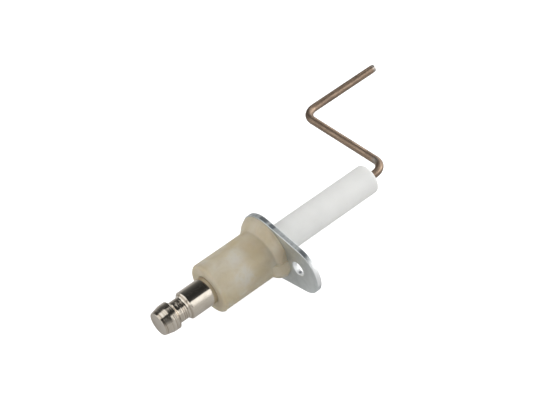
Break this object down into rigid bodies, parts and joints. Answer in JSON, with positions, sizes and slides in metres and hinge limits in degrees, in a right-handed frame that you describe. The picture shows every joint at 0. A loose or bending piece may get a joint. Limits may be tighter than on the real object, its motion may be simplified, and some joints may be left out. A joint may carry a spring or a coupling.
{
  "type": "flame sensor probe",
  "caption": "Flame sensing probe: push-on terminal stud, flared moulded insulator on a one-screw flange plate, white ceramic tube and a cranked electrode rod.",
  "frame": {"origin": "on the probe's axis, in the plane of the flange plate's seating face, where the ceramic tube leaves the flange", "axes": "+X along the probe from the terminal to the hot end, +Y towards the rod's crank, away from the flange's screw lobe, +Z normal to the plane that holds the axis, the screw hole and the crank"},
  "size_m": [0.0843, 0.0445, 0.0154],
  "materials": {
    "moulded_insulator": "satin, slightly translucent beige with pale clouding",
    "zinc_plate": "satin bright zinc plating on sheet steel",
    "alumina": "matt white fired alumina",
    "rod_alloy": "brown oxidised heat-resisting alloy with draw lines",
    "nickel": "nickel-plated, fine turning marks",
    "braze": "dull braze",
    "cement": "matt grey-white cement"
  },
  "bodies": {
    "root": {"insulator_body": "moulded_insulator", "flange_plate": "zinc_plate", "ceramic_tube": "alumina", "electrode_rod": "rod_alloy", "terminal_stud": "nickel", "rod_braze": "braze", "cold_end_seal": "cement", "tube_cement": "cement"}
  },
  "joints": []
}
